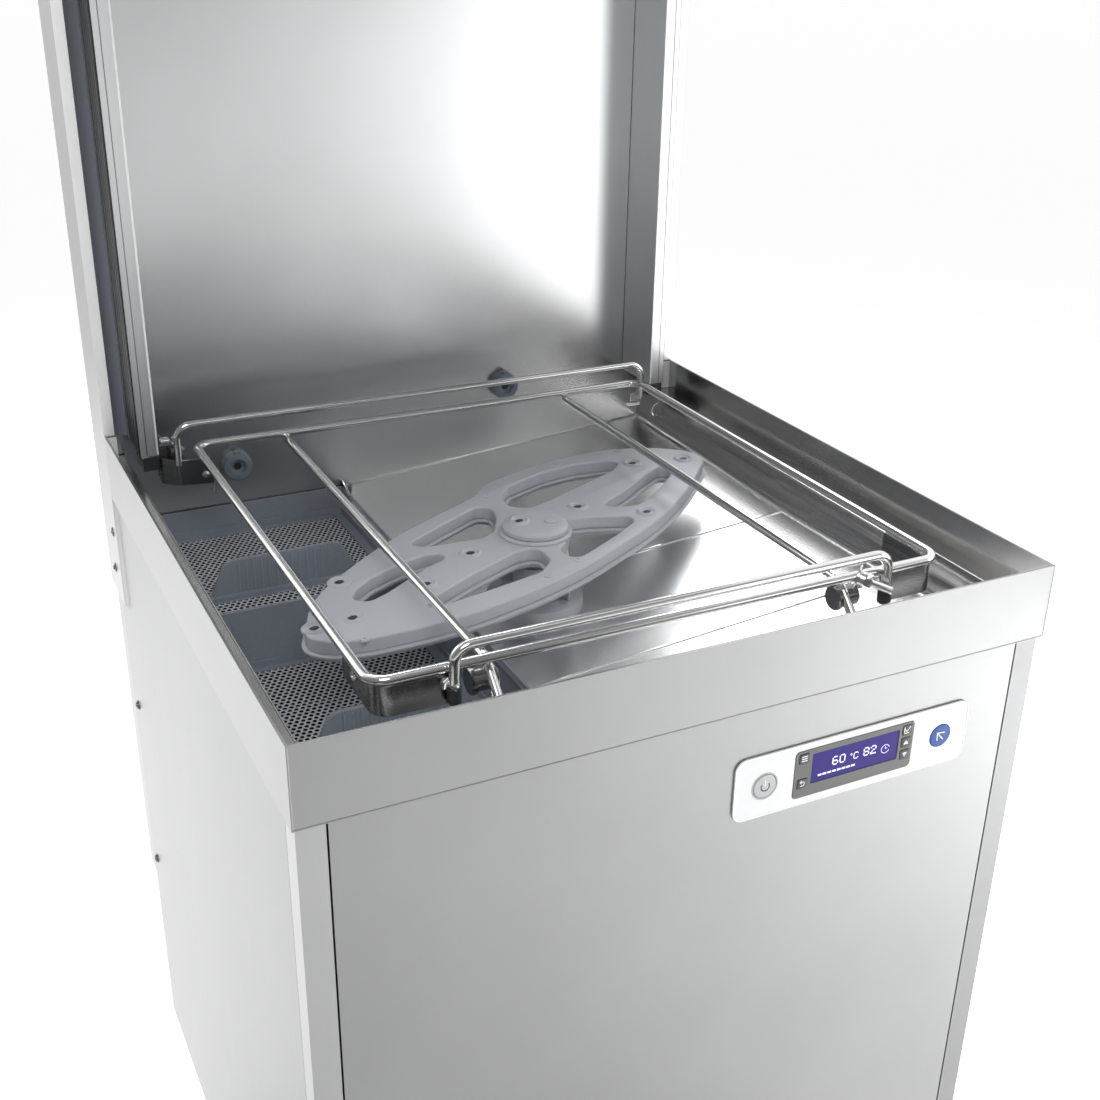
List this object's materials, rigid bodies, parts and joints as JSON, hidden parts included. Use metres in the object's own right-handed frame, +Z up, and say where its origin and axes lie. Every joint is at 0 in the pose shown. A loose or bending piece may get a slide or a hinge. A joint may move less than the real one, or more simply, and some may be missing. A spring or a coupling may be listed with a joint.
{
  "type": "commercial dishwasher",
  "caption": "Hood-type pass-through dishwasher: open tank with rack guide, wash arms and strainers, lifting hood on rear columns, front control panel.",
  "frame": {"origin": "on the floor, under the middle of the object's bounding box with the hood raised", "axes": "+Z up, +Y from the operator's side to the back, +X to the operator's right"},
  "size_m": [0.635, 0.75, 1.995],
  "materials": {
    "brushed_steel": "brushed stainless steel, directional grain",
    "satin_steel": "satin stainless steel, drawn or rolled",
    "polished_steel": "polished stainless wire and tube",
    "galvanised_steel": "galvanised sheet, matt",
    "motor_housing": "cast aluminium, matt",
    "grey_plastic": "moulded polypropylene, matt grey-blue",
    "strainer_plastic": "moulded polypropylene, satin slate grey",
    "fascia": "satin silver film over plastic",
    "bezel": "satin warm grey plastic",
    "key_rubber": "soft dark key caps",
    "display": "backlit blue-violet liquid crystal display",
    "start_blue": "blue translucent button, lit ring",
    "power_pale": "pale grey button",
    "black_plastic": "black plastic, matt",
    "white_plastic": "white acetal, low friction",
    "spring_steel": "drawn spring wire"
  },
  "bodies": {
    "cabinet": {"base_frame": "galvanised_steel", "foot_front_left": "satin_steel", "foot_front_right": "satin_steel", "foot_rear_left": "satin_steel", "foot_rear_right": "satin_steel", "front_post_left": "brushed_steel", "front_post_right": "brushed_steel", "side_panel_left": "brushed_steel", "side_panel_right": "brushed_steel", "front_panel": "brushed_steel", "control_fascia": "fascia", "display_bezel": "bezel", "display_screen": "display", "rear_service_plate": "brushed_steel", "water_inlet": "satin_steel", "drain_outlet": "black_plastic", "cable_gland": "black_plastic", "rear_cover": "brushed_steel", "back_wall": "satin_steel", "column_cap": "brushed_steel", "column_cover_left": "brushed_steel", "column_cover_right": "brushed_steel", "column_post_left": "satin_steel", "column_post_right": "satin_steel", "rail_guide_left": "white_plastic", "rail_guide_right": "white_plastic", "lift_spring_left": "spring_steel", "lift_spring_right": "spring_steel", "fill_nozzle": "grey_plastic", "dosing_nozzle": "grey_plastic", "tank_rim": "brushed_steel", "tank_shell": "satin_steel", "strainer_rear": "strainer_plastic", "strainer_front": "strainer_plastic", "tank_heater": "satin_steel", "rack_guide": "polished_steel", "rack_rear_stop": "polished_steel", "arm_pedestal": "grey_plastic", "upper_manifold": "grey_plastic", "wash_pump": "satin_steel", "pump_motor": "motor_housing", "boiler": "satin_steel", "electrical_box": "galvanised_steel"},
    "hood": {"hood_shell": "brushed_steel", "hood_liner": "satin_steel", "hood_handle": "polished_steel", "hood_rail_left": "galvanised_steel", "hood_rail_right": "galvanised_steel"},
    "lower_arm": {"lower_wash_arm": "grey_plastic", "lower_hub_cap": "grey_plastic"},
    "upper_arm": {"upper_wash_arm": "grey_plastic"},
    "pump_rotor": {"pump_impeller": "black_plastic"},
    "power_switch": {"power_button": "power_pale"},
    "start_switch": {"start_button": "start_blue"},
    "menu_key": {"key_menu": "key_rubber"},
    "back_key": {"key_back": "key_rubber"},
    "confirm_key": {"key_confirm": "key_rubber"},
    "up_key": {"key_up": "key_rubber"},
    "down_key": {"key_down": "key_rubber"}
  },
  "joints": [
    {"name": "hood_lift", "type": "slide", "parent": "cabinet", "child": "hood", "axis": [0, 0, 1], "range_m": [-0.48, 0], "stiffness_N_per_m": 60, "springref_m": 4.4, "deforming": ["lift_spring_left", "lift_spring_right"]},
    {"name": "lower_arm_spin", "type": "hinge", "parent": "cabinet", "child": "lower_arm", "pos_m": [-0.0005, -0.003, 0.834], "axis": [0, 0, 1], "continuous": true},
    {"name": "upper_arm_spin", "type": "hinge", "parent": "cabinet", "child": "upper_arm", "pos_m": [-0.0005, -0.003, 1.365], "axis": [0, 0, 1], "continuous": true},
    {"name": "pump_rotor_spin", "type": "hinge", "parent": "cabinet", "child": "pump_rotor", "pos_m": [-0.01, 0.025, 0.42], "axis": [1, 0, 0], "continuous": true},
    {"name": "power_press", "type": "slide", "parent": "cabinet", "child": "power_switch", "axis": [0, 1, 0], "range_m": [0, 0.0012], "stiffness_N_per_m": 1500, "springref_m": -0.0006},
    {"name": "start_press", "type": "slide", "parent": "cabinet", "child": "start_switch", "axis": [0, 1, 0], "range_m": [0, 0.0012], "stiffness_N_per_m": 1500, "springref_m": -0.0006},
    {"name": "menu_press", "type": "slide", "parent": "cabinet", "child": "menu_key", "axis": [0, 1, 0], "range_m": [0, 0.0006], "stiffness_N_per_m": 1500, "springref_m": -0.0005},
    {"name": "back_press", "type": "slide", "parent": "cabinet", "child": "back_key", "axis": [0, 1, 0], "range_m": [0, 0.0006], "stiffness_N_per_m": 1500, "springref_m": -0.0005},
    {"name": "confirm_press", "type": "slide", "parent": "cabinet", "child": "confirm_key", "axis": [0, 1, 0], "range_m": [0, 0.0006], "stiffness_N_per_m": 1500, "springref_m": -0.0005},
    {"name": "up_press", "type": "slide", "parent": "cabinet", "child": "up_key", "axis": [0, 1, 0], "range_m": [0, 0.0006], "stiffness_N_per_m": 1500, "springref_m": -0.0005},
    {"name": "down_press", "type": "slide", "parent": "cabinet", "child": "down_key", "axis": [0, 1, 0], "range_m": [0, 0.0006], "stiffness_N_per_m": 1500, "springref_m": -0.0005}
  ]
}
